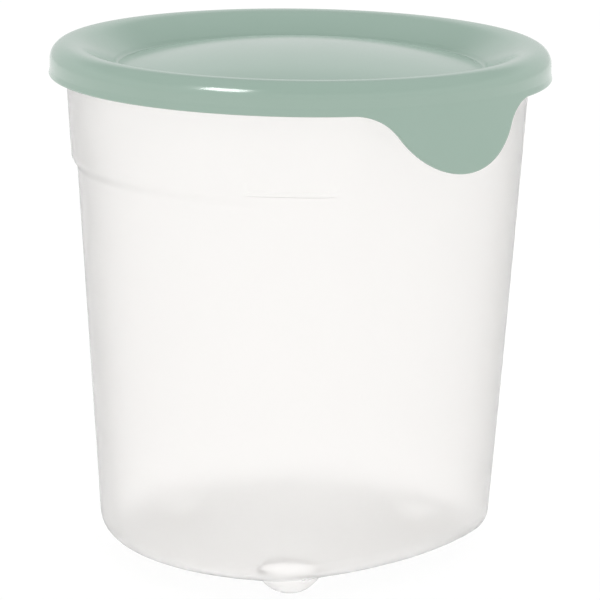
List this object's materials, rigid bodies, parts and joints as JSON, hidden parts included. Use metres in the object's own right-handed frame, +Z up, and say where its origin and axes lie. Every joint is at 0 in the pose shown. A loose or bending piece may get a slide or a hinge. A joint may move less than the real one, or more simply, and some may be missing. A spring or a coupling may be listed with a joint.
{
  "type": "food storage container",
  "caption": "Clear tapered plastic food keeper with one flattened side and dome feet, closed by a sage-green press-on lid with a thumb tab.",
  "frame": {"origin": "under the middle of the tub's round wall, on the plane that its three feet stand on", "axes": "+Z up through the tub's axis to the lid; -Y out of the tub's flattened side, where the lid's thumb tab hangs; +X to the right of a person who faces the flattened side"},
  "size_m": [0.1498, 0.1536, 0.1567],
  "materials": {
    "clear_plastic": "clear injection-moulded polypropylene, smooth and glossy, slightly milky",
    "sage_plastic": "flexible polyethylene, sage green, smooth satin gloss"
  },
  "bodies": {
    "tub": {"tub": "clear_plastic"},
    "lid": {"lid": "sage_plastic"}
  },
  "joints": [
    {"name": "lid_lift", "type": "slide", "parent": "tub", "child": "lid", "axis": [0, 0, 1], "range_m": [0, 0.06]}
  ]
}
